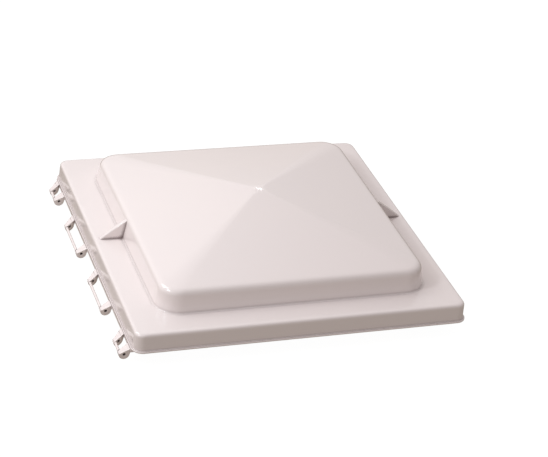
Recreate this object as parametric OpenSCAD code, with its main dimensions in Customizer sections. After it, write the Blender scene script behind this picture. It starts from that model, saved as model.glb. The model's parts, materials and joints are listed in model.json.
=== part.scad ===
// Roof vent lid: a moulded lid with a pyramid dome, hinge loops along one edge,
// foam seals under its flange and the lift hardware under its dome.
// The origin is the middle of the hinge axis. +X runs to the free edge, +Y runs
// along the hinge and +Z points out of the roof.

/* [Lid] */
// Width of the flange across its upper edges
lid_w = 394; // [384:1:404]
// Height of the skirt
skirt_h = 22.8; // [21:0.2:25]
// How far the skirt leans out at its foot
skirt_lean = 0.9; // [0.5:0.1:1.5]
// Wall thickness of the moulding
wall = 2.5; // [2:0.1:3]
// Corner radius of the flange, seen from above
flange_r = 10; // [8:1:14]
// Rounding of the flange's upper edge
flange_edge = 4; // [2:0.5:5]
// How far the lip stands out at the skirt's foot
lip_out = 2.3; // [1.5:0.1:3]
// Thickness of the lip
lip_t = 2; // [1.5:0.1:2.5]

/* [Pan and dome] */
// Flange width, from its edge to the pan's upper edge
pan_inset = 37.7; // [34:0.1:42]
// Height of the pan's wall
pan_h = 26.2; // [22:0.2:30]
// How far the pan's wall leans out at its foot
pan_lean = 3.3; // [2:0.1:5]
// Corner radius of the pan, seen from above
pan_r = 24; // [16:1:30]
// Rounding of the pan's upper edge
pan_edge = 6; // [3:0.5:8]
// Fillet at the pan's foot
pan_fillet = 3; // [1:0.5:4]
// Height of the pyramid dome above the pan's edge
dome_h = 31.4; // [20:0.2:40]
// Thickness of the dome
roof_t = 3; // [2.6:0.1:3.4]

/* [Gusset ribs] */
// Length of a rib's foot along the flange
rib_reach = 31; // [24:1:34]
// Thickness of a rib
rib_t = 6; // [4:0.5:8]
// Place of the ribs along the hinge direction
rib_y = 6; // [-20:1:20]

/* [Hinge] */
// Distance of the hinge axis outside the flange's edge
hinge_out = 9.7; // [9.7:0.1:11]
// Depth of the hinge axis below the skirt's foot
hinge_drop = 6.8; // [6.6:0.1:8]
// Radius of the hole for the hinge rod
bore_r = 1.65; // [1.6:0.05:1.7]
// Radius of a lug's round end
lobe_r = 6.2; // [5.5:0.1:6.4]
// Length of the two middle loops
loop_long = 80; // [70:1:84]
// Length of the two end loops
loop_short = 43; // [38:1:44]
// Where the two middle loops start, to the left of the lid's middle
loop_long_from = 21.5; // [18:0.5:24]
// Where the two end loops start, to the left of the lid's middle
loop_short_from = 145; // [140:1:148]
// Thickness of a lug at the rail
lug_root = 13; // [10:0.5:14]
// Thickness of a lug at its outer end
lug_tip = 6; // [4:0.5:7]
// How far a loop's left lug leans back along the hinge
lug_lean = 15; // [0:1:16]
// Radius of the bar that joins two lugs
bar_r = 1.6; // [1.2:0.1:1.8]

/* [Seals] */
// Width of a foam strip
seal_w = 20; // [14:1:22]
// Thickness of a foam strip
seal_t = 8; // [5:0.5:10]
// Distance from the flange's edge to a strip
seal_in = 9; // [8:0.5:12]

/* [Lift track] */
// Distance of the track from the lid's centre, towards the free edge
track_x = 60; // [40:1:70]
// Height of the track's back above the skirt's foot
track_z = 50; // [46:0.5:52]
// Length of the channel
track_l = 170; // [150:2:176]
// Width of the channel
track_w = 26; // [24:1:28]
// Depth of the channel
track_d = 12; // [12:0.5:13]
// Thickness of the track's sheet steel
sheet_t = 1.5; // [1.2:0.1:1.8]
// Width of the slot under the channel
slot_w = 14; // [13:0.5:15]
// Length of an end tab
tab_l = 28; // [26:1:30]
// Half the distance between a tab's two screws
screw_dx = 11; // [10:0.5:12]

/* [Hidden] */

$fn = 64;

// Places of the lid in the hinge's frame
half = lid_w / 2;
lid_x = half + hinge_out;
foot_z = hinge_drop;
flange_z = foot_z + skirt_h;
pan_top = half - pan_inset;
pan_foot = pan_top + pan_lean;
pan_z = flange_z + pan_h;
slope = dome_h / pan_top;
slant = sqrt(1 + slope * slope);
apex_half = 4;
under_z = flange_z - wall;
skirt_foot = half + skirt_lean;
lip_half = skirt_foot + lip_out;

// Points in a quarter of a ring, and steps in a rounded edge
corner_n = 6;
edge_n = 4;

// Height of the dome's outer and inner faces at a distance from the centre
function dome_z(h) = pan_z + (pan_top - h) * slope;
function ceiling_z(h) = dome_z(h) - roof_t * slant;

// One ring of the shell: a square of half width h with corners of radius r
function ring(h, r, z) = [
    for (q = [0:3]) for (i = [0:corner_n])
        let (a = 90 * q + 90 * i / corner_n,
             sx = (q == 0 || q == 3) ? 1 : -1,
             sy = (q < 2) ? 1 : -1)
        [lid_x + sx * (h - r) + r * cos(a), sy * (h - r) + r * sin(a), z]];

// Each station is [half width, corner radius, height], from the outer apex
// down to the foot and back up the inside to the inner apex.
edge_zc = pan_z + pan_edge * (slope - slant);
stations = concat(
    [[apex_half, pan_r * apex_half / pan_top, dome_z(apex_half)]],
    [for (i = [0:edge_n])
        let (a = (90 - atan(slope)) * (1 - i / edge_n),
             h = pan_top - pan_edge * (1 - cos(a)))
        [h, pan_r + h - pan_top, edge_zc + pan_edge * sin(a)]],
    [for (i = [0:edge_n])
        let (a = 180 + 90 * i / edge_n,
             h = pan_foot + pan_fillet * (1 + cos(a)))
        [h, pan_r + h - pan_top, flange_z + pan_fillet * (1 + sin(a))]],
    [for (i = [0:edge_n])
        let (a = 90 * (1 - i / edge_n),
             h = half - flange_edge * (1 - cos(a)))
        [h, flange_r + h - half, flange_z - flange_edge * (1 - sin(a))]],
    [[skirt_foot - 0.1, flange_r + skirt_lean, foot_z + lip_t + 0.3],
     [lip_half - 0.6, flange_r + lip_half - half - 0.6, foot_z + lip_t],
     [lip_half, flange_r + lip_half - half, foot_z + lip_t * 0.6],
     [lip_half - 0.4, flange_r + lip_half - half - 0.4, foot_z],
     [skirt_foot - wall, flange_r + skirt_lean - wall, foot_z],
     [half - wall, flange_r - wall, under_z],
     [pan_foot - wall, pan_r + pan_lean - wall, under_z],
     [pan_top - wall, pan_r - wall, ceiling_z(pan_top - wall)],
     [apex_half, (pan_r - wall) * apex_half / pan_top, ceiling_z(apex_half)]]);

// A closed skin over rings of equal length, capped at its first and last ring
module skin(rings) {
    n = len(rings[0]);
    m = len(rings);
    polyhedron(
        points = [for (r = rings) for (p = r) p],
        faces = concat(
            [[for (j = [n - 1:-1:0]) j]],
            [for (i = [0:m - 2]) for (j = [0:n - 1])
                let (k = (j + 1) % n) [i * n + j, i * n + k, (i + 1) * n + k]],
            [for (i = [0:m - 2]) for (j = [0:n - 1])
                let (k = (j + 1) % n) [i * n + j, (i + 1) * n + k, (i + 1) * n + j]],
            [[for (j = [0:n - 1]) (m - 1) * n + j]]),
        convexity = 6);
}

// Extrudes a profile drawn in X and Z along +Y, from y for a length
module along_y(y, length) {
    translate([0, y + length, 0]) rotate([90, 0, 0]) linear_extrude(length) children();
}

// A round bar along Y or along X, centred on a point
module bar_y(r, length) { rotate([90, 0, 0]) cylinder(r = r, h = length, center = true); }
module bar_x(r, length) { rotate([0, 90, 0]) cylinder(r = r, h = length, center = true); }

// ---- Lid shell ----

screw_y = track_l / 2 + tab_l / 2 + 1;
boss_r = 5;
boss_top = dome_z(screw_y + boss_r) - 0.4;
boss_foot = foot_z + track_z;
pilot_r = 2.02;
pilot_l = 6.8;
screw_places = [for (sy = [-1, 1]) for (sx = [-1, 1])
    [lid_x + track_x + sx * screw_dx, sy * screw_y]];

// How deep a rib reaches into the pan's wall, and how far its top is below the pan's edge
rib_root = 1.2;
rib_drop = 2.6;

// One gusset rib, on the side that s points to
module rib(s) {
    foot = pan_foot + rib_reach - pan_lean;
    translate([lid_x, 0, 0]) mirror([s < 0 ? 1 : 0, 0, 0])
        along_y(rib_y - rib_t / 2, rib_t)
            polygon([[pan_foot - rib_root, flange_z - 1], [foot, flange_z - 1],
                [foot, flange_z + 0.4], [pan_top - 0.2, pan_z - rib_drop],
                [pan_top - rib_root, pan_z - rib_drop]]);
}

module lid_shell() {
    color("#f4ebe9") difference() {
        union() {
            skin([for (s = stations) ring(s[0], s[1], s[2])]);
            rib(1);
            rib(-1);
            for (p = screw_places)
                translate([p[0], p[1], boss_foot]) cylinder(r = boss_r, h = boss_top - boss_foot);
        }
        for (p = screw_places)
            translate([p[0], p[1], boss_foot - 1]) cylinder(r = pilot_r, h = pilot_l + 1);
    }
}

// ---- Hinge rail ----

rail_t = 3.5;
rail_l = 380;
rail_out = lid_x - lip_half;
leg_x = lid_x - half + wall + 0.3;
leg_t = 2.8;
leg_h = 12;
leg_l = 368;
rail_in = leg_x + leg_t;
lug_top = foot_z;
rim_x = -lobe_r - 1;
bar_in = bar_r + 0.3;

// Each loop is [where it starts, its length along the rail]
loops = [[-loop_short_from - loop_short, loop_short], [-loop_long_from - loop_long, loop_long],
    [loop_long_from, loop_long], [loop_short_from, loop_short]];

// Side view of a lug: its round end, the web to the rail and the sloping top
module lug_profile() {
    intersection() {
        union() {
            circle(r = lobe_r);
            polygon([[rail_out + 1, lug_top], [rail_out + 1, lug_top - rail_t],
                [lobe_r * cos(30), -lobe_r * sin(30)], [0, -lobe_r], [-lobe_r, 0],
                [-lobe_r, 1], [rail_out, lug_top]]);
        }
        polygon([[rail_out + 2, -lobe_r - 1], [rail_out + 2, lug_top], [rail_out, lug_top],
            [rim_x, 0.55], [rim_x, -lobe_r - 1]]);
    }
}

// A lug that ends at y = 0 on the rail and at -lean at its rim, and lies on the -Y side of that face
module lug(lean) {
    reach = lean + lug_root;
    intersection() {
        along_y(-reach, reach) lug_profile();
        translate([0, 0, -lobe_r - 1]) linear_extrude(lobe_r + lug_top + 2)
            polygon([[rail_out + 1, 0], [rail_out + 1, -lug_root],
                [rim_x, -lean - lug_tip], [rim_x, -lean]]);
    }
}

// One hinge loop: a square lug, a leaning lug and the bar between their outer ends
module hinge_loop(from, length) {
    bar_from = from + lug_tip - 1;
    bar_to = from + length - lug_lean - lug_tip + 1;
    translate([0, from, 0]) mirror([0, 1, 0]) lug(0);
    translate([0, from + length, 0]) lug(lug_lean);
    translate([bar_in - lobe_r, (bar_from + bar_to) / 2, 0]) bar_y(bar_r, bar_to - bar_from);
}

module hinge_rail() {
    color("#ece8e6") difference() {
        union() {
            translate([rail_out, -rail_l / 2, foot_z - rail_t]) cube([rail_in - rail_out, rail_l, rail_t]);
            translate([leg_x, -leg_l / 2, foot_z - 1]) cube([leg_t, leg_l, leg_h + 1]);
            for (s = loops) hinge_loop(s[0], s[1]);
        }
        bar_y(bore_r, 2 * lid_w);
    }
}

// ---- Seals ----

seal_out = half - seal_in;
seal_far = seal_out - seal_w;
seal_gap = 0.2;

module foam(x0, y0, lx, ly) {
    color("#2b2c2e") translate([x0, y0, under_z - seal_t]) cube([lx, ly, seal_t]);
}
module hinge_side_seal() { foam(lid_x - seal_out, -seal_out, seal_w, 2 * seal_out); }
module free_side_seal() { foam(lid_x + seal_far, -seal_out, seal_w, 2 * seal_out); }
module left_seal() {
    foam(lid_x - seal_far + seal_gap, seal_far, 2 * (seal_far - seal_gap), seal_w);
}
module right_seal() {
    foam(lid_x - seal_far + seal_gap, -seal_out, 2 * (seal_far - seal_gap), seal_w);
}

// ---- Lift track, its stops and its screws ----

back_z = foot_z + track_z;
tab_w = 34;
stop_l = 8;
peg_r = 2;
screw_r = 2;
head_r = 4;
head_h = 2.6;
washer_r = 5;
washer_t = 1;
stop_y = track_l / 2 - stop_l;

module lift_track() {
    mouth_z = -track_d + sheet_t;
    color("#b9bcbe") translate([lid_x + track_x, 0, back_z]) difference() {
        union() {
            translate([-track_w / 2, -track_l / 2, -track_d]) cube([track_w, track_l, track_d]);
            for (s = [-1, 1]) translate([0, s * (track_l / 2 + tab_l / 2), -sheet_t / 2])
                cube([tab_w, tab_l, sheet_t], center = true);
        }
        translate([-track_w / 2 + sheet_t, -track_l, mouth_z])
            cube([track_w - 2 * sheet_t, 2 * track_l, track_d - 2 * sheet_t]);
        translate([-slot_w / 2, -track_l, -track_d - 1]) cube([slot_w, 2 * track_l, sheet_t + 2]);
        for (s = [-1, 1]) {
            for (t = [-1, 1]) translate([t * screw_dx, s * screw_y, -sheet_t - 1])
                cylinder(r = screw_r + 0.3, h = sheet_t + 2);
            translate([0, s * (stop_y + stop_l / 2), -sheet_t - 1])
                cylinder(r = peg_r + 0.05, h = sheet_t + 2);
        }
    }
}

// A nylon end stop, pushed into the channel and held by its peg
module track_stop(s) {
    color("#e9e6dc") translate([lid_x + track_x, s * (stop_y + stop_l / 2), back_z - sheet_t]) {
        translate([0, 0, sheet_t - track_d / 2])
            cube([track_w - 2 * sheet_t - 0.2, stop_l, track_d - 2 * sheet_t - 0.01], center = true);
        translate([0, 0, -1]) cylinder(r = peg_r, h = sheet_t + 2.2);
    }
}
module track_stop_left() { track_stop(1); }
module track_stop_right() { track_stop(-1); }

module track_screw(p) {
    color("#c9cccf") translate([p[0], p[1], back_z - sheet_t - washer_t]) {
        translate([0, 0, -head_h]) difference() {
            cylinder(r = head_r, h = head_h);
            for (a = [0, 90]) rotate([0, 0, a]) translate([0, 0, 0.4]) cube([4.4, 1, 2], center = true);
        }
        translate([0, 0, -0.5]) cylinder(r = screw_r, h = washer_t + sheet_t + 6.5);
    }
}
module track_washer(p) {
    color("#d4d6d8") translate([p[0], p[1], back_z - sheet_t - washer_t]) difference() {
        cylinder(r = washer_r, h = washer_t);
        translate([0, 0, -1]) cylinder(r = screw_r + 0.2, h = washer_t + 2);
    }
}

// ---- Slide shoe, fork and pin ----

shoe_l = 32;
shoe_gap = 0.3;
neck_l = 24;
tongue_t = 8;
eye_r = 6;
pin_r = 2.5;
pin_drop = 24;
pin_z = back_z - pin_drop;
neck_z = pin_z + 7;
fork_t = 2;
fork_r = 5.5;
fork_l = 22;
fork_in = tongue_t / 2 + shoe_gap;
fork_out = fork_in + fork_t;
arm_hole_r = 3.1;
clip_t = 0.8;
clip_x = fork_out + 0.2 + washer_t + 0.1;

module slide_shoe() {
    body_w = track_w - 2 * sheet_t - 2 * shoe_gap;
    body_z = back_z - track_d + sheet_t + shoe_gap;
    body_h = track_d - 2 * sheet_t - 2 * shoe_gap;
    neck_w = slot_w - 2 * shoe_gap;
    color("#efece2") translate([lid_x + track_x, 0, 0]) difference() {
        union() {
            translate([-body_w / 2, -shoe_l / 2, body_z]) cube([body_w, shoe_l, body_h]);
            translate([-neck_w / 2, -neck_l / 2, neck_z]) cube([neck_w, neck_l, body_z - neck_z + 1]);
            translate([-tongue_t / 2, -eye_r, pin_z]) cube([tongue_t, 2 * eye_r, neck_z - pin_z + 1]);
            translate([0, 0, pin_z]) bar_x(eye_r, tongue_t);
        }
        translate([0, 0, pin_z]) bar_x(pin_r, 2 * tongue_t);
    }
}

module fork_pin() {
    head_t = 1.6;
    from = -fork_out - 0.2 - head_t;
    to = clip_x + clip_t + 1.2;
    color("#c4c7ca") translate([lid_x + track_x, 0, pin_z]) rotate([0, 90, 0]) difference() {
        union() {
            translate([0, 0, from]) cylinder(r = 4, h = head_t);
            translate([0, 0, from]) cylinder(r = pin_r, h = to - from);
        }
        translate([0, 0, clip_x]) difference() {
            cylinder(r = pin_r + 1, h = clip_t);
            translate([0, 0, -1]) cylinder(r = pin_r - 0.6, h = clip_t + 2);
        }
    }
}

module pin_washer() {
    color("#d4d6d8") translate([lid_x + track_x + fork_out + 0.2, 0, pin_z]) rotate([0, 90, 0])
        difference() {
            cylinder(r = 4.5, h = washer_t);
            translate([0, 0, -1]) cylinder(r = pin_r + 0.1, h = washer_t + 2);
        }
}

// A snap clip with an open mouth, seated in the pin's groove
module pin_clip() {
    color("#8f9498") translate([lid_x + track_x + clip_x, 0, pin_z]) rotate([0, 90, 0])
        difference() {
            cylinder(r = 4.6, h = clip_t);
            translate([0, 0, -1]) cylinder(r = pin_r - 0.55, h = clip_t + 2);
            translate([0, -1.7, -1]) cube([6, 3.4, clip_t + 2]);
        }
}

// A steel fork that hangs on the pin and takes the lift arm's stud
module arm_fork() {
    color("#aeb2b5") translate([lid_x + track_x, 0, pin_z]) difference() {
        union() {
            for (s = [-1, 1]) translate([s * (fork_in + fork_t / 2), 0, 0]) {
                bar_x(fork_r, fork_t);
                translate([-fork_t / 2, -fork_r, -fork_l]) cube([fork_t, 2 * fork_r, fork_l]);
            }
            translate([-fork_out, -fork_r, -fork_l]) cube([2 * fork_out, 2 * fork_r, fork_t]);
        }
        bar_x(pin_r + 0.05, 4 * tongue_t);
        translate([0, 0, -fork_l - 1]) cylinder(r = arm_hole_r, h = fork_t + 2);
    }
}

lid_shell();
hinge_rail();
hinge_side_seal();
free_side_seal();
left_seal();
right_seal();
lift_track();
track_stop_left();
track_stop_right();
track_screw(screw_places[0]);  // track_screw_1
track_screw(screw_places[1]);  // track_screw_2
track_screw(screw_places[2]);  // track_screw_3
track_screw(screw_places[3]);  // track_screw_4
track_washer(screw_places[0]);  // track_washer_1
track_washer(screw_places[1]);  // track_washer_2
track_washer(screw_places[2]);  // track_washer_3
track_washer(screw_places[3]);  // track_washer_4
slide_shoe();
fork_pin();
pin_washer();
pin_clip();
arm_fork();
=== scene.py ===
"""Looks for the roof vent lid. The CAD model is the frame, and this script dresses it.

The script's own lengths are in millimetres, and MM turns them into Blender's metres.
"""

import json
import math
import random

import bmesh
import bpy
from mathutils import Matrix, Vector

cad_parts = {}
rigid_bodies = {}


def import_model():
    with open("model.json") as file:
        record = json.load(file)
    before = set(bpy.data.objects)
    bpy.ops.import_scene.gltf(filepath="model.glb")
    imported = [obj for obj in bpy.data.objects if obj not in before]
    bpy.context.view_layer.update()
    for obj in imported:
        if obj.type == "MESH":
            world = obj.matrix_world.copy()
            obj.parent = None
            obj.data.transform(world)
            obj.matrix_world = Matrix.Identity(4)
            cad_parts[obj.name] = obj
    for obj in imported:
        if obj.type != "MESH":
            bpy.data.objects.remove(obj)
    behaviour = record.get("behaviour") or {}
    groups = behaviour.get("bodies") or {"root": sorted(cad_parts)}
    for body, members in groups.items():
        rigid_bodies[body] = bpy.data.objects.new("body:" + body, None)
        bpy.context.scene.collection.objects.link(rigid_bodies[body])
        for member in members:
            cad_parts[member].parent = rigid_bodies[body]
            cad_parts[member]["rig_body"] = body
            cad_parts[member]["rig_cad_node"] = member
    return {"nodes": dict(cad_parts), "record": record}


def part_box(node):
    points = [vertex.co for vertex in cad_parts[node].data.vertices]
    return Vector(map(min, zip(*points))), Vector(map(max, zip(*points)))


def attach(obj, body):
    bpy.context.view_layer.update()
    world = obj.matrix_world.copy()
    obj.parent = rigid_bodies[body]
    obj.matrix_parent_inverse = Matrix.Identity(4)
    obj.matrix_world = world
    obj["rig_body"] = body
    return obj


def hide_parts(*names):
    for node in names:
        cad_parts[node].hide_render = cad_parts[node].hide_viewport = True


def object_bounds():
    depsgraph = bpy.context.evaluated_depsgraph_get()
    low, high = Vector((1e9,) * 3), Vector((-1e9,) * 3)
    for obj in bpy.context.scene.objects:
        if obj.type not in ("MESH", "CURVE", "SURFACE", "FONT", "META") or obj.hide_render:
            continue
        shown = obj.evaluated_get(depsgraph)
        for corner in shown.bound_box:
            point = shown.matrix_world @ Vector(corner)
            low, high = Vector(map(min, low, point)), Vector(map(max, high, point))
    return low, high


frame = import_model()
cad_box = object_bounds()

MM = 0.001
nodes = frame["nodes"]
scene = bpy.context.scene


# ---- Sizes of the moulding, as the CAD model has them ----

shell_lo, shell_hi = (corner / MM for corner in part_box("lid_shell"))
LID_X = (shell_lo.x + shell_hi.x) / 2
FOOT_Z = shell_lo.z
LIP_HALF = (shell_hi.y - shell_lo.y) / 2
LIP_OUT = 2.3
LIP_T = 2.0
SKIRT_LEAN = 0.9
SKIRT_FOOT = LIP_HALF - LIP_OUT
HALF = SKIRT_FOOT - SKIRT_LEAN
WALL = 2.5
FLANGE_Z = FOOT_Z + 22.8
UNDER_Z = FLANGE_Z - WALL
FLANGE_R = 10.0
PAN_TOP = HALF - 37.7
PAN_LEAN = 3.3
PAN_FOOT = PAN_TOP + PAN_LEAN
PAN_R = 24.0
PAN_Z = FLANGE_Z + 26.2
SLOPE = 31.4 / PAN_TOP
ROOF_T = 3.0 * math.hypot(1, SLOPE)
CORNER_STEPS = 14
EDGE_STEPS = 6


# ---- Mesh helpers ----

def mesh_object(name, points, faces):
    """A mesh object from points in millimetres."""
    mesh = bpy.data.meshes.new(name)
    mesh.from_pydata([Vector(p) * MM for p in points], [], faces)
    mesh.validate()
    obj = bpy.data.objects.new(name, mesh)
    scene.collection.objects.link(obj)
    return obj


def smooth_by_angle(obj, degrees=32):
    """Smooth faces, with every edge that is sharper than the angle left sharp."""
    bm = bmesh.new()
    bm.from_mesh(obj.data)
    bmesh.ops.recalc_face_normals(bm, faces=bm.faces)
    for face in bm.faces:
        face.smooth = True
    for edge in bm.edges:
        edge.smooth = edge.calc_face_angle(math.pi) < math.radians(degrees)
    bm.to_mesh(obj.data)
    bm.free()


def apply_modifiers(obj):
    """Turns the object's modifiers into plain mesh."""
    depsgraph = bpy.context.evaluated_depsgraph_get()
    mesh = bpy.data.meshes.new_from_object(obj.evaluated_get(depsgraph))
    obj.modifiers.clear()
    obj.data = mesh


def unite(obj, tools):
    """Joins the closed tool objects onto the object and removes them."""
    for tool in tools:
        cut = obj.modifiers.new("unite", "BOOLEAN")
        cut.operation = "UNION"
        cut.solver = "EXACT"
        cut.object = tool
    apply_modifiers(obj)
    for tool in tools:
        bpy.data.objects.remove(tool)


def dome_z(h):
    """Height of the dome's outer face at a distance from the lid's middle, along X or Y."""
    return PAN_Z + (PAN_TOP - h) * SLOPE


# ---- Lid shell ----

SIDE_STEP = 2.5
APEX_ROUND = 10.0
APEX_END = 12.0
DOME_END = 146
DOME_STEP = 10
HIP_POWER = 1.8
HIP_LEAST = 0.12


def ring(h, r, z):
    """A square of half width h with round corners, and an extra point beside each corner."""
    r = min(r, h * 0.98)
    step = min(SIDE_STEP, (h - r) / 3)
    points = []
    for quarter in range(4):
        turn = Matrix.Rotation(quarter * math.pi / 2, 2)
        arc = [(h, h - r - step)]
        for i in range(CORNER_STEPS + 1):
            a = math.pi / 2 * i / CORNER_STEPS
            arc.append((h - r + r * math.cos(a), h - r + r * math.sin(a)))
        arc.append((h - r - step, h))
        points += [turn @ Vector(p) for p in arc]
    return [(LID_X + p.x, p.y, z) for p in points]


def rounded(corners):
    """The profile through corners (h, r, z, rounding), with each corner turned into a curve."""
    profile = []
    count = len(corners)
    for k, (h, r, z, rounding) in enumerate(corners):
        here = Vector((h, r, z))
        if rounding == 0 or k in (0, count - 1):
            profile.append(here)
            continue
        ends = []
        for other in (corners[k - 1], corners[k + 1]):
            along = Vector(other[:3]) - here
            length = math.hypot(along.x, along.z)
            ends.append((here + along * (rounding / length), along / length))
        (a, out_a), (b, out_b) = ends
        support = 0.3 * rounding
        profile.append(a + out_a * support)
        for i in range(EDGE_STEPS + 1):
            t = i / EDGE_STEPS
            profile.append(a * (1 - t) ** 2 + here * (2 * t * (1 - t)) + b * t ** 2)
        profile.append(b + out_b * support)
    return profile


def pan_corner(h):
    return PAN_R + h - PAN_TOP


def hip_corner(h):
    """Corner radius of the dome, whose hips are sharper the nearer they are to the apex."""
    return max(PAN_R * (h / PAN_TOP) ** HIP_POWER, HIP_LEAST * h)


def flange_corner(h):
    return FLANGE_R + h - HALF


def apex_profile():
    """The dome's outer face, from its rounded tip down along the hips."""
    top = dome_z(APEX_ROUND) + SLOPE * APEX_ROUND / 2
    profile = []
    for h in (0.4, 1.2, 2.2, 3.2, 4.2, 5.5, 7, 8.5, APEX_ROUND, APEX_END):
        z = top - SLOPE * h * h / (2 * APEX_ROUND) if h < APEX_ROUND else dome_z(h)
        share = h / APEX_END
        profile.append(Vector((h, h * 0.97 * (1 - share) + hip_corner(h) * share, z)))
    for h in range(2 * DOME_STEP, DOME_END, DOME_STEP):
        profile.append(Vector((h, hip_corner(h), dome_z(h))))
    return profile


def shell_profile():
    """Rings of the shell, from the apex down to the lip and up inside to the ceiling.

    A ring is (half width, corner radius, height), and a corner of the profile adds its rounding.
    """
    edge = PAN_TOP - 0.9
    foot = PAN_FOOT + 0.5
    inner_edge = PAN_TOP - WALL - 0.3
    corners = [
        (DOME_END, hip_corner(DOME_END), dome_z(DOME_END), 0),
        (edge, pan_corner(edge), dome_z(edge), 6),
        (foot, pan_corner(foot), FLANGE_Z, 1.8),
        (HALF, FLANGE_R, FLANGE_Z, 4),
        (SKIRT_FOOT, flange_corner(SKIRT_FOOT), FOOT_Z + LIP_T, 0.8),
        (LIP_HALF, flange_corner(LIP_HALF), FOOT_Z + LIP_T, 0.7),
        (LIP_HALF, flange_corner(LIP_HALF), FOOT_Z, 0.7),
        (SKIRT_FOOT - WALL, flange_corner(SKIRT_FOOT - WALL), FOOT_Z, 0.6),
        (HALF - WALL, FLANGE_R - WALL, UNDER_Z, 1.8),
        (PAN_FOOT - WALL, pan_corner(PAN_FOOT - WALL), UNDER_Z, 1.0),
        (inner_edge, pan_corner(inner_edge), dome_z(inner_edge) - ROOF_T, 4),
        (4, 4 * PAN_R / PAN_TOP, dome_z(4) - ROOF_T, 0),
        (1, PAN_R / PAN_TOP, dome_z(3) - ROOF_T, 0),
    ]
    return apex_profile() + rounded(corners)[1:]


def skin(name, rings):
    """A closed mesh over rings with the same number of points, capped at both ends."""
    n = len(rings[0])
    points = [p for one in rings for p in one]
    faces = [tuple(reversed(range(n)))]
    for i in range(len(rings) - 1):
        for j in range(n):
            k = (j + 1) % n
            faces.append((i * n + j, i * n + k, (i + 1) * n + k, (i + 1) * n + j))
    last = (len(rings) - 1) * n
    faces.append(tuple(range(last, last + n)))
    return mesh_object(name, points, faces)


RIB_Y = 6.0
RIB_T = 6.0
RIB_REACH = 31.0
RIB_ROOT = 1.2
RIB_STEPS = 24


def rib(side):
    """A gusset rib from flange to pan, with a round sloping edge and a root in the pan's wall."""
    tip = PAN_FOOT + RIB_REACH - PAN_LEAN
    root = PAN_FOOT - RIB_ROOT
    rings = []
    for i in range(RIB_STEPS + 1):
        share = i / RIB_STEPS
        half_t = RIB_T / 2 * (0.93 + 0.07 * share)
        bead = min(1.6, half_t)
        top = min(FLANGE_Z + 0.4 + share * 1.04 * (PAN_Z - FLANGE_Z - 3.2), PAN_Z - 2.8)
        low = min(FLANGE_Z - 1.2, top - bead - 0.2)
        outline = [(half_t + 0.15, low), (half_t, max(low + 0.1, top - bead))]
        for j in range(1, 6):
            a = math.pi / 2 * j / 6
            outline.append((half_t - bead + bead * math.cos(a), top - bead + bead * math.sin(a)))
        outline += [(-y, z) for y, z in reversed(outline)]
        points = []
        for y, z in outline:
            lean = share * PAN_LEAN * (z - FLANGE_Z) / (PAN_Z - FLANGE_Z)
            x = tip + (root - tip) * share - lean
            points.append((LID_X + side * x, RIB_Y + y, z))
        rings.append(points)
    return skin("rib", rings)


BOSS_R = 5.0
PILOT_R = 2.02
PILOT_DEPTH = 6.8
BOSS_MIDDLE = 0.01
BOSS_STEPS = 32


def boss(x, y, foot, top):
    """A screw boss with a blind pilot hole, open at its foot."""
    outline = [(BOSS_R - 0.4, foot), (BOSS_R, foot + 0.4), (BOSS_R, top), (BOSS_MIDDLE, top)]
    hole = [(BOSS_MIDDLE, foot + PILOT_DEPTH), (PILOT_R, foot + PILOT_DEPTH),
            (PILOT_R, foot + 0.3), (PILOT_R + 0.28, foot)]
    rings = []
    for r, z in hole + outline:
        angles = (2 * math.pi * i / BOSS_STEPS for i in range(BOSS_STEPS))
        rings.append([(x + r * math.cos(a), y + r * math.sin(a), z) for a in angles])
    return skin("boss", rings)


def make_shell():
    """The lid's moulding, with its two ribs and a boss over each track washer."""
    shell = skin("lid_moulding", [ring(*station) for station in shell_profile()])
    tools = [rib(1), rib(-1)]
    for number in range(1, 5):
        lo, hi = (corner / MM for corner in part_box(f"track_washer_{number}"))
        x, y = (lo.x + hi.x) / 2, (lo.y + hi.y) / 2
        tools.append(boss(x, y, hi.z + 1.5, dome_z(abs(y) + BOSS_R) - 0.5))
    for tool in tools:
        smooth_by_angle(tool)
    unite(shell, tools)
    smooth_by_angle(shell)
    return shell


# ---- Pieces made from a CAD node's own shape ----

def round_edges(obj, width, segments=2):
    """Modifiers that give a CAD shape the small round edges of a real piece."""
    weld = obj.modifiers.new("weld", "WELD")
    weld.merge_threshold = 0.002 * MM
    flat = obj.modifiers.new("flat", "DECIMATE")
    flat.decimate_type = "DISSOLVE"
    flat.angle_limit = math.radians(0.6)
    bevel = obj.modifiers.new("bevel", "BEVEL")
    bevel.width = width * MM
    bevel.segments = segments
    bevel.limit_method = "ANGLE"
    bevel.angle_limit = math.radians(30)
    bevel.use_clamp_overlap = False
    bevel.miter_outer = "MITER_ARC"
    normals = obj.modifiers.new("normals", "WEIGHTED_NORMAL")
    normals.keep_sharp = True


def make_rail():
    """The hinge rail with moulded edges, on a copy without the CAD node's own marks."""
    rail = nodes["hinge_rail"].copy()
    rail.data = nodes["hinge_rail"].data.copy()
    rail.name = "hinge_moulding"
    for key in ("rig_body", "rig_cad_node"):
        if key in rail:
            del rail[key]
    rail.parent = None
    scene.collection.objects.link(rail)
    round_edges(rail, 0.5, segments=3)
    return rail


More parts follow.
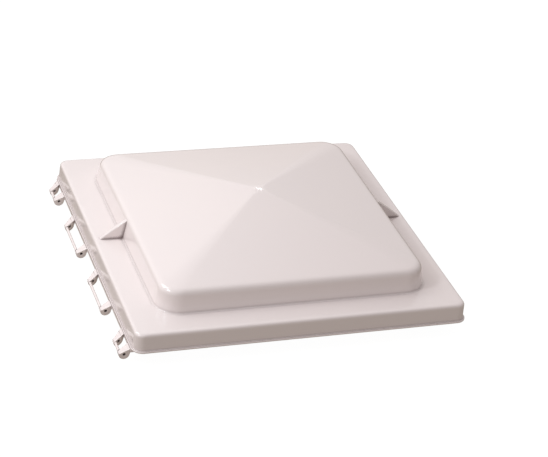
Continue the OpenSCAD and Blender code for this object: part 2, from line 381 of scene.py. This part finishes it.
def make_foam(node, seed):
    """A foam strip with soft edges, slightly uneven faces and cut ends."""
    lo, hi = (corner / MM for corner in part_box(node))
    size = hi - lo
    middle = (lo + hi) / 2
    along = 1 if size.y > size.x else 0
    across = 1 - along
    rand = random.Random(seed)
    steps = int(size[along] / 5)
    places = [(i / steps, 1.0) for i in range(1, steps)]
    places = [(0, 0.9), (0.0007, 0.985)] + places + [(0.9993, 0.985), (1, 0.9)]
    sides = 28
    rings = []
    for share, shrink in places:
        outline = []
        for j in range(sides):
            a = 2 * math.pi * (j + 0.5) / sides
            c, s = math.cos(a), math.sin(a)
            width = shrink * abs(c) ** 0.22 - rand.uniform(0, 0.012)
            height = shrink * abs(s) ** 0.28 - rand.uniform(0, 0.03)
            point = [0, 0, middle.z + math.copysign(height, s) * size.z / 2]
            point[along] = lo[along] + size[along] * share
            point[across] = middle[across] + math.copysign(width, c) * size[across] / 2
            outline.append(tuple(point))
        rings.append(outline)
    strip = skin(node.replace("_seal", "_foam_strip"), rings)
    smooth_by_angle(strip, 50)
    return strip


# ---- Materials ----

def new_material(name):
    """A material, its node tree and its shader."""
    material = bpy.data.materials.new(name)
    material.use_nodes = True
    tree = material.node_tree
    shader = tree.nodes["Principled BSDF"]
    return material, tree, shader


def texture(tree, kind, scale, **settings):
    """A texture node in object coordinates, in metres."""
    coords = tree.nodes.new("ShaderNodeTexCoord")
    node = tree.nodes.new(kind)
    node.inputs["Scale"].default_value = scale
    for key, value in settings.items():
        if key in node.inputs:
            node.inputs[key].default_value = value
        else:
            setattr(node, key, value)
    tree.links.new(coords.outputs["Object"], node.inputs["Vector"])
    return node


def vary(tree, source, low, high, start=0.0, end=1.0):
    """The source's value, stretched from start..end to low..high."""
    node = tree.nodes.new("ShaderNodeMapRange")
    tree.links.new(source, node.inputs["Value"])
    for key, value in (("From Min", start), ("From Max", end), ("To Min", low), ("To Max", high)):
        node.inputs[key].default_value = value
    return node.outputs["Result"]


COLOUR_A, COLOUR_B = 6, 7
COLOUR_RESULT = 2


def blend_colours(tree, factor, first, second):
    """A colour between two, by the factor. The second is a colour or another node's output."""
    node = tree.nodes.new("ShaderNodeMix")
    node.data_type = "RGBA"
    tree.links.new(factor, node.inputs["Factor"])
    node.inputs[COLOUR_A].default_value = (*first, 1)
    if isinstance(second, tuple):
        node.inputs[COLOUR_B].default_value = (*second, 1)
    else:
        tree.links.new(second, node.inputs[COLOUR_B])
    return node.outputs[COLOUR_RESULT]


def bump(tree, shader, height, distance, below=None):
    """Adds a bump of that depth in millimetres, on top of the bump below."""
    node = tree.nodes.new("ShaderNodeBump")
    node.inputs["Distance"].default_value = distance * MM
    tree.links.new(height, node.inputs["Height"])
    if below is not None:
        tree.links.new(below.outputs["Normal"], node.inputs["Normal"])
    tree.links.new(node.outputs["Normal"], shader.inputs["Normal"])
    return node


PLASTIC_WARM = (0.905, 0.825, 0.815)
PLASTIC_COOL = (0.895, 0.818, 0.812)
# Dark colour of the painted shade that the plastic is blended towards in creases and nooks.
CREASE_PAINTED_SHADE = (0.32, 0.255, 0.25)


def plastic_material():
    """White gloss moulding: faint flow marks, fine orange peel, rubbed spots, and painted shade
    that darkens the colour in creases and nooks.
    """
    material, tree, shader = new_material("white_plastic")
    cloud = texture(tree, "ShaderNodeTexNoise", 9, Detail=3.0)
    peel = texture(tree, "ShaderNodeTexNoise", 420, Detail=2.0)
    ripple = texture(tree, "ShaderNodeTexNoise", 14, Detail=1.0)
    rub = texture(tree, "ShaderNodeTexNoise", 30, Detail=2.0)
    factor = vary(tree, cloud.outputs["Fac"], 0, 1, 0.35, 0.65)
    colour = blend_colours(tree, factor, PLASTIC_WARM, PLASTIC_COOL)
    # Painted shade: ambient occlusion within 6 mm blends the base colour towards the dark
    # painted-shade colour in creases, nooks and rib roots.
    crease_occlusion = tree.nodes.new("ShaderNodeAmbientOcclusion")
    crease_occlusion.samples = 8
    crease_occlusion.inputs["Distance"].default_value = 6 * MM
    unshaded_share = vary(tree, crease_occlusion.outputs["AO"], 0, 1, 0.48, 0.88)
    tree.links.new(blend_colours(tree, unshaded_share, CREASE_PAINTED_SHADE, colour), shader.inputs["Base Color"])
    rough = vary(tree, rub.outputs["Fac"], 0.20, 0.26, 0.3, 0.7)
    tree.links.new(rough, shader.inputs["Roughness"])
    shader.inputs["Coat Weight"].default_value = 0.8
    shader.inputs["Coat Roughness"].default_value = 0.04
    wave = bump(tree, shader, ripple.outputs["Fac"], 0.03)
    bump(tree, shader, peel.outputs["Fac"], 0.001, below=wave)
    return material


def foam_material():
    """Closed-cell foam: fine dark cells."""
    material, tree, shader = new_material("foam")
    cells = texture(tree, "ShaderNodeTexVoronoi", 900)
    patch = texture(tree, "ShaderNodeTexNoise", 60, Detail=4.0)
    factor = vary(tree, patch.outputs["Fac"], 0, 1, 0.3, 0.7)
    tree.links.new(blend_colours(tree, factor, (0.018, 0.018, 0.02), (0.034, 0.034, 0.036)),
                   shader.inputs["Base Color"])
    shader.inputs["Roughness"].default_value = 0.92
    shader.inputs["Sheen Weight"].default_value = 0.12
    dents = bump(tree, shader, patch.outputs["Fac"], 0.25)
    bump(tree, shader, cells.outputs["Distance"], 0.12, below=dents)
    return material


def galvanised_material():
    """Galvanised sheet: zinc spangles that differ in brightness and gloss."""
    material, tree, shader = new_material("galvanised_steel")
    spangle = texture(tree, "ShaderNodeTexVoronoi", 190, Randomness=1.0)
    stain = texture(tree, "ShaderNodeTexNoise", 40, Detail=5.0)
    grey = tree.nodes.new("ShaderNodeSeparateColor")
    tree.links.new(spangle.outputs["Color"], grey.inputs["Color"])
    tone = vary(tree, grey.outputs["Red"], 0.1, 0.9)
    tree.links.new(blend_colours(tree, tone, (0.42, 0.44, 0.46), (0.62, 0.63, 0.64)),
                   shader.inputs["Base Color"])
    shader.inputs["Metallic"].default_value = 1.0
    tree.links.new(vary(tree, grey.outputs["Green"], 0.3, 0.48), shader.inputs["Roughness"])
    dull = bump(tree, shader, stain.outputs["Fac"], 0.03)
    bump(tree, shader, spangle.outputs["Distance"], 0.012, below=dull)
    return material


def zinc_material():
    """Bright zinc plate with a faint yellow and blue cast and handling marks."""
    material, tree, shader = new_material("zinc_steel")
    cast = texture(tree, "ShaderNodeTexNoise", 160, Detail=3.0)
    marks = texture(tree, "ShaderNodeTexNoise", 900, Detail=4.0)
    factor = vary(tree, cast.outputs["Fac"], 0, 1, 0.35, 0.65)
    tree.links.new(blend_colours(tree, factor, (0.66, 0.65, 0.60), (0.60, 0.63, 0.68)),
                   shader.inputs["Base Color"])
    shader.inputs["Metallic"].default_value = 1.0
    rough = vary(tree, marks.outputs["Fac"], 0.29, 0.40, 0.3, 0.7)
    tree.links.new(rough, shader.inputs["Roughness"])
    bump(tree, shader, marks.outputs["Fac"], 0.01)
    return material


def nylon_material():
    """Natural nylon: creamy, a little translucent, with fine mould marks."""
    material, tree, shader = new_material("nylon")
    milk = texture(tree, "ShaderNodeTexNoise", 70, Detail=3.0)
    grain = texture(tree, "ShaderNodeTexNoise", 1500, Detail=2.0)
    factor = vary(tree, milk.outputs["Fac"], 0, 1, 0.3, 0.7)
    tree.links.new(blend_colours(tree, factor, (0.80, 0.77, 0.68), (0.74, 0.71, 0.62)),
                   shader.inputs["Base Color"])
    tree.links.new(vary(tree, grain.outputs["Fac"], 0.42, 0.56), shader.inputs["Roughness"])
    bump(tree, shader, grain.outputs["Fac"], 0.015)
    return material


def spring_material():
    """Dark oiled spring steel with rolling lines."""
    material, tree, shader = new_material("spring_steel")
    lines = texture(tree, "ShaderNodeTexWave", 700, Distortion=2.0)
    colour = blend_colours(tree, lines.outputs["Fac"], (0.16, 0.17, 0.19), (0.26, 0.27, 0.29))
    tree.links.new(colour, shader.inputs["Base Color"])
    shader.inputs["Metallic"].default_value = 1.0
    tree.links.new(vary(tree, lines.outputs["Fac"], 0.3, 0.42), shader.inputs["Roughness"])
    return material


MAKERS = {
    "white_plastic": plastic_material,
    "foam": foam_material,
    "galvanised_steel": galvanised_material,
    "zinc_steel": zinc_material,
    "nylon": nylon_material,
    "spring_steel": spring_material,
}
materials = {name: make() for name, make in MAKERS.items()}


def dress(obj, material):
    """Gives the object one material."""
    obj.data.materials.clear()
    obj.data.materials.append(materials[material])


def add_piece(obj, node, material):
    """Puts a new piece on the lid in place of a CAD node."""
    dress(obj, material)
    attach(obj, "lid")
    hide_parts(node)


# ---- The pieces ----

SEALS = ("hinge_side_seal", "free_side_seal", "left_seal", "right_seal")
REPLACED = {"lid_shell", "hinge_rail", *SEALS}

add_piece(make_shell(), "lid_shell", "white_plastic")
add_piece(make_rail(), "hinge_rail", "white_plastic")
for seed, node in enumerate(SEALS):
    strip = make_foam(node, seed)
    add_piece(strip, node, "foam")

for entry in frame["record"]["subparts"]:
    name = entry["node"]
    if name in REPLACED:
        continue
    node = nodes[name]
    for material_slot in node.material_slots:
        material_slot.material = materials[entry["material_slot"]]
    round_edges(node, 0.18)


# ---- Stage, light and camera ----

def make_floor():
    """A pale floor that glows evenly, so that it is as bright as a lit paper sweep."""
    drop = 6.0
    reach = 6000.0
    z = cad_box[0].z / MM - drop
    corners = [(x * reach, y * reach, z) for x, y in ((-1, -1), (1, -1), (1, 1), (-1, 1))]
    floor = mesh_object("floor", corners, [(0, 1, 2, 3)])
    material, tree, shader = new_material("floor_paper")
    shader.inputs["Base Color"].default_value = (0.1, 0.1, 0.1, 1)
    shader.inputs["Roughness"].default_value = 1.0
    shader.inputs["Specular IOR Level"].default_value = 0.0
    shader.inputs["Emission Color"].default_value = (1, 1, 1, 1)
    shader.inputs["Emission Strength"].default_value = 0.97
    floor.data.materials.append(material)
    floor.visible_diffuse = False
    floor.visible_glossy = False
    floor.visible_shadow = False


BRIGHT_SIDE = (-0.7, 0.71, 0)
FRONT_LIGHT = 0.30
BACK_LIGHT = 0.90
LOW_LIGHT = 0.32
LOW_COLOUR = (1.0, 0.86, 0.72)
HIGH_COLOUR = (1.0, 0.945, 0.93)


def make_world():
    """Soft light, strong from the back left, weak from the front right and warm from below."""
    world = bpy.data.worlds.new("studio")
    scene.world = world
    world.use_nodes = True
    tree = world.node_tree
    background = tree.nodes["Background"]
    coords = tree.nodes.new("ShaderNodeTexCoord")
    split = tree.nodes.new("ShaderNodeSeparateXYZ")
    tree.links.new(coords.outputs["Generated"], split.inputs["Vector"])
    above = vary(tree, split.outputs["Z"], 0, 1, -0.1, 0.2)
    strength = tree.nodes.new("ShaderNodeMix")
    tree.links.new(above, strength.inputs["Factor"])
    strength.inputs["A"].default_value = LOW_LIGHT
    facing = tree.nodes.new("ShaderNodeVectorMath")
    facing.operation = "DOT_PRODUCT"
    tree.links.new(coords.outputs["Generated"], facing.inputs[0])
    facing.inputs[1].default_value = BRIGHT_SIDE
    sides = vary(tree, facing.outputs["Value"], FRONT_LIGHT, BACK_LIGHT, -0.8, 0.5)
    tree.links.new(sides, strength.inputs["B"])
    tree.links.new(strength.outputs["Result"], background.inputs["Strength"])
    tree.links.new(blend_colours(tree, above, LOW_COLOUR, HIGH_COLOUR), background.inputs["Color"])


def add_light(name, place, aim, width, watts, colour):
    """A square soft box at a place, turned towards a point, both in millimetres."""
    data = bpy.data.lights.new(name, "AREA")
    data.shape = "SQUARE"
    data.size = width * MM
    data.energy = watts
    data.color = colour
    light = bpy.data.objects.new(name, data)
    light.location = Vector(place) * MM
    light.rotation_mode = "QUATERNION"
    light.rotation_quaternion = (Vector(aim) - Vector(place)).to_track_quat("-Z", "Y")
    scene.collection.objects.link(light)


def make_camera():
    """The photograph's view: from the near left, above the lid, rolled a little."""
    azimuth, elevation, roll = (math.radians(a) for a in (-21.643, 30.709, 7.018))
    distance = 2227.7
    aim = Vector((LID_X, 0, FOOT_Z))
    right_of_aim, below_aim = 26.1, -20.3
    forward = Vector((math.sin(-azimuth) * math.cos(elevation),
                      math.cos(azimuth) * math.cos(elevation), -math.sin(elevation)))
    level = forward.cross(Vector((0, 0, 1))).normalized()
    up = level.cross(forward)
    right = level * math.cos(roll) + up * math.sin(roll)
    top = up * math.cos(roll) - level * math.sin(roll)
    data = bpy.data.cameras.new("camera")
    data.sensor_width = 36.0
    data.lens = 120.68
    data.clip_end = 50
    camera = bpy.data.objects.new("camera", data)
    place = (aim - forward * distance + right * right_of_aim - top * below_aim) * MM
    turn = Matrix((right, top, -forward)).transposed()
    camera.matrix_world = Matrix.Translation(place) @ turn.to_4x4()
    scene.collection.objects.link(camera)
    scene.camera = camera


make_floor()
make_world()
add_light("key", (LID_X - 690, -260, 710), (LID_X - 100, -100, 20), 140, 1.9, (0.90, 0.945, 1.0))
add_light("side", (LID_X - 420, 120, 560), (LID_X - 60, 0, 40), 300, 0.85, (0.92, 1.0, 1.0))
add_light("tip", (LID_X + 311, 812, 580), (LID_X, 0, 87), 110, 0.25, (1.0, 1.0, 1.0))
make_camera()
scene.view_settings.view_transform = "Standard"
